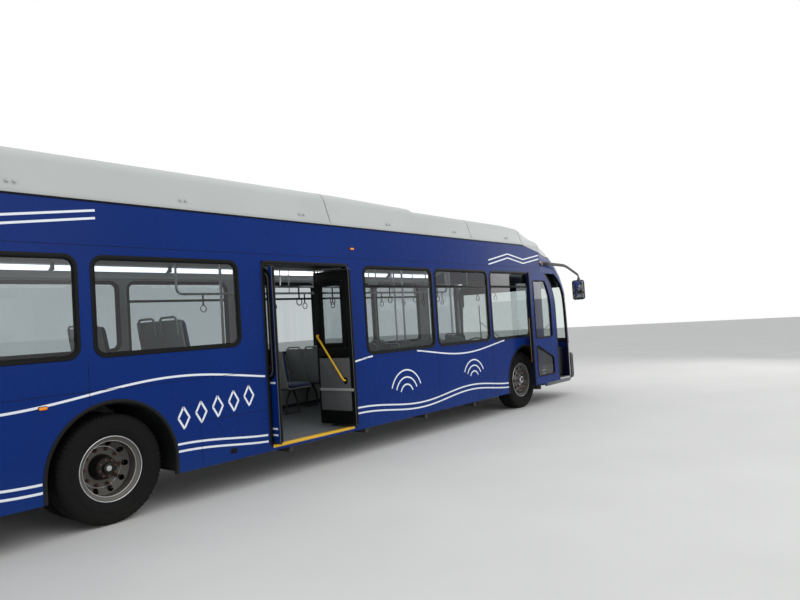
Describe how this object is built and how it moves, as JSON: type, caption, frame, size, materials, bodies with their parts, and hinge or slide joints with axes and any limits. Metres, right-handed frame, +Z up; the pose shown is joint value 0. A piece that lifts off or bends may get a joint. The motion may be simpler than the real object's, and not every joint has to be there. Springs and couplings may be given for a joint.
{
  "type": "airport passenger bus",
  "caption": "Low-floor airport passenger bus with a roof fairing, parked with an open swing-out front door and open folding rear doors.",
  "frame": {"origin": "on the ground below the middle of the body", "axes": "+X towards the front of the bus, -Y towards the kerb side with the passenger doors, +Z up"},
  "size_m": [12.88, 3.19, 3.39],
  "materials": {
    "chassis_steel": "satin black chassis paint",
    "floor_vinyl": "ribbed slip-resistant vinyl",
    "blue_paint": "glossy royal blue paint",
    "white_panel": "satin white panel",
    "white_paint": "satin white paint",
    "tank_composite": "wound composite",
    "bumper_rubber": "moulded black polyurethane",
    "tinted_glass": "dark tinted glass",
    "black_frame": "satin black",
    "arch_rubber": "matt black rubber",
    "lamp_clear": "clear lens",
    "lamp_colour": "amber and red lens",
    "dark_plastic": "grained dark plastic",
    "seat_fabric": "dark blue patterned fabric",
    "rail_paint": "yellow powder coat",
    "cast_metal": "cast and machined",
    "wheel_metal": "silver grey wheel paint",
    "tyre_rubber": "black rubber",
    "arm_steel": "satin black",
    "door_aluminium": "grey anodised with dark paint"
  },
  "bodies": {
    "body": {"underframe": "chassis_steel", "floor": "floor_vinyl", "kerb_side": "blue_paint", "street_side": "blue_paint", "roof": "white_panel", "roof_fairing": "white_paint", "gas_tanks": "tank_composite", "front_mask": "blue_paint", "rear_end": "blue_paint", "bumpers": "bumper_rubber", "window_glass": "tinted_glass", "windscreen": "tinted_glass", "window_frames": "black_frame", "arch_trims": "arch_rubber", "clear_lamps": "lamp_clear", "signal_lamps": "lamp_colour", "dash": "dark_plastic", "driver_seat": "seat_fabric", "passenger_seats": "seat_fabric", "grab_rails": "rail_paint", "ceiling": "white_panel", "engine": "cast_metal", "front_axle": "chassis_steel", "rear_axle": "chassis_steel", "mirrors": "black_frame"},
    "engine_door": {"engine_door": "blue_paint"},
    "knuckle_kerb": {"knuckle_kerb": "chassis_steel"},
    "knuckle_street": {"knuckle_street": "chassis_steel"},
    "tie_rod": {"tie_rod": "chassis_steel"},
    "steering_wheel": {"steering_wheel": "dark_plastic"},
    "front_wheel_kerb": {"rim_front_kerb": "wheel_metal", "tyre_front_kerb": "tyre_rubber"},
    "front_wheel_street": {"rim_front_street": "wheel_metal", "tyre_front_street": "tyre_rubber"},
    "rear_wheels_kerb": {"rims_rear_kerb": "wheel_metal", "tyres_rear_kerb": "tyre_rubber"},
    "rear_wheels_street": {"rims_rear_street": "wheel_metal", "tyres_rear_street": "tyre_rubber"},
    "front_door_arms": {"front_door_shaft": "arm_steel"},
    "front_door": {"front_door_leaf": "blue_paint", "front_door_glass": "tinted_glass"},
    "rear_door_a_arms": {"rear_door_shaft_a": "arm_steel"},
    "rear_door_a": {"rear_door_leaf_a": "door_aluminium", "rear_door_glass_a": "tinted_glass"},
    "rear_door_b_arms": {"rear_door_shaft_b": "arm_steel"},
    "rear_door_b": {"rear_door_leaf_b": "door_aluminium", "rear_door_glass_b": "tinted_glass"}
  },
  "joints": [
    {"name": "front_wheel_kerb_spin", "type": "hinge", "parent": "knuckle_kerb", "child": "front_wheel_kerb", "pos_m": [4.14, -1.06, 0.5], "axis": [0, 1, 0], "continuous": true},
    {"name": "front_wheel_street_spin", "type": "hinge", "parent": "knuckle_street", "child": "front_wheel_street", "pos_m": [4.14, 1.06, 0.5], "axis": [0, 1, 0], "continuous": true},
    {"name": "rear_wheels_kerb_spin", "type": "hinge", "parent": "body", "child": "rear_wheels_kerb", "pos_m": [-3.51, -1.085, 0.5], "axis": [0, 1, 0], "continuous": true},
    {"name": "rear_wheels_street_spin", "type": "hinge", "parent": "body", "child": "rear_wheels_street", "pos_m": [-3.51, 1.085, 0.5], "axis": [0, 1, 0], "continuous": true},
    {"name": "steer_kerb", "type": "hinge", "parent": "body", "child": "knuckle_kerb", "pos_m": [4.14, -0.91, 0.5], "axis": [0, 0, 1], "range_deg": [-38, 38]},
    {"name": "steer_street", "type": "hinge", "parent": "body", "child": "knuckle_street", "pos_m": [4.14, 0.91, 0.5], "axis": [0, 0, 1], "range_deg": [-38, 38]},
    {"name": "tie_rod_pivot", "type": "hinge", "parent": "knuckle_kerb", "child": "tie_rod", "pos_m": [3.94, -0.91, 0.37], "axis": [0, 0, 1], "range_deg": [-38, 38]},
    {"name": "steering_wheel_turn", "type": "hinge", "parent": "body", "child": "steering_wheel", "pos_m": [5.505, 0.69, 1.13], "axis": [-0.4226, 0, 0.9063], "range_deg": [-684, 684]},
    {"name": "front_door_swing", "type": "hinge", "parent": "body", "child": "front_door_arms", "pos_m": [4.97, -1.165, 0.385], "axis": [0, 0, 1], "range_deg": [0, 137.42]},
    {"name": "front_leaf_turn", "type": "hinge", "parent": "front_door_arms", "child": "front_door", "pos_m": [4.60186, -1.415, 0.385], "axis": [0, 0, -1], "range_deg": [0, 137.42]},
    {"name": "rear_door_a_swing", "type": "hinge", "parent": "body", "child": "rear_door_a_arms", "pos_m": [-1.73, -1.20975, 0.385], "axis": [0, 0, -1], "range_deg": [0, 87.75]},
    {"name": "rear_leaf_a_turn", "type": "hinge", "parent": "rear_door_a_arms", "child": "rear_door_a", "pos_m": [-1.655, -0.9625, 0.385], "axis": [0, 0, 1], "range_deg": [0, 177.75]},
    {"name": "rear_door_b_swing", "type": "hinge", "parent": "body", "child": "rear_door_b_arms", "pos_m": [-0.345, -1.20975, 0.385], "axis": [0, 0, 1], "range_deg": [0, 87.75]},
    {"name": "rear_leaf_b_turn", "type": "hinge", "parent": "rear_door_b_arms", "child": "rear_door_b", "pos_m": [-0.42, -0.9625, 0.385], "axis": [0, 0, -1], "range_deg": [0, 177.75]},
    {"name": "engine_door_lift", "type": "hinge", "parent": "body", "child": "engine_door", "pos_m": [-6.378, 0, 1.406], "axis": [0, 1, 0], "range_deg": [0, 80]}
  ],
  "couplings": [
    {"joint": "steer_street", "follows": "steer_kerb", "ratio": 1},
    {"joint": "tie_rod_pivot", "follows": "steer_kerb", "ratio": -1},
    {"joint": "steering_wheel_turn", "follows": "steer_kerb", "ratio": 18},
    {"joint": "front_leaf_turn", "follows": "front_door_swing", "ratio": 1},
    {"joint": "rear_leaf_a_turn", "follows": "rear_door_a_swing", "ratio": 2.0256},
    {"joint": "rear_door_b_swing", "follows": "rear_door_a_swing", "ratio": 1},
    {"joint": "rear_leaf_b_turn", "follows": "rear_door_a_swing", "ratio": 2.0256}
  ]
}
